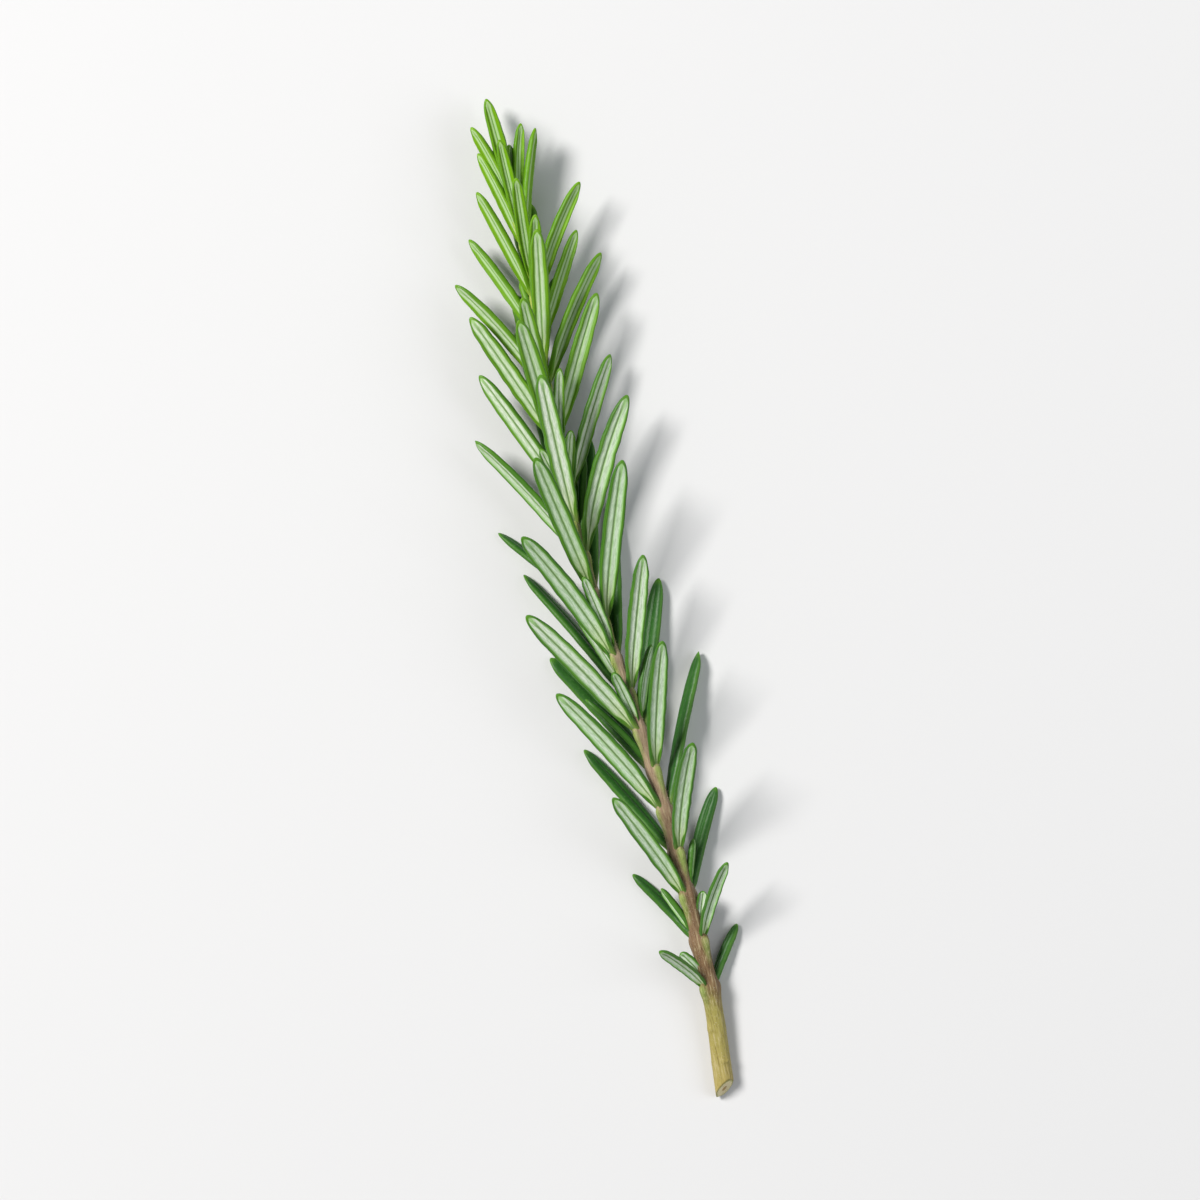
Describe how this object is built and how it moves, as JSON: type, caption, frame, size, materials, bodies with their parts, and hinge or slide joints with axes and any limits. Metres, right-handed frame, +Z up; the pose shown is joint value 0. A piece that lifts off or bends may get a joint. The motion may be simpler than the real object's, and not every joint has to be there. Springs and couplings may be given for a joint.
{
  "type": "rosemary sprig",
  "caption": "Cut rosemary sprig lying on its side: a bare woody stem end, opposite pairs of narrow leathery needle leaves, and a yellow-green growing tip.",
  "frame": {"origin": "middle of the sprig's outline seen from above, on the surface that it lies on", "axes": "+Y from the cut end to the growing tip, +Z up from the surface, +X to the right seen from above"},
  "size_m": [0.0254, 0.1532, 0.0182],
  "materials": {
    "bark": "dry, finely streaked bark",
    "leaf": "dark green and glossy above, pale felt with green margins below",
    "young_leaf": "yellow-green, soft gloss"
  },
  "bodies": {
    "root": {"woody_stem": "bark", "leafy_shoot": "leaf", "young_tip": "young_leaf"}
  },
  "joints": []
}
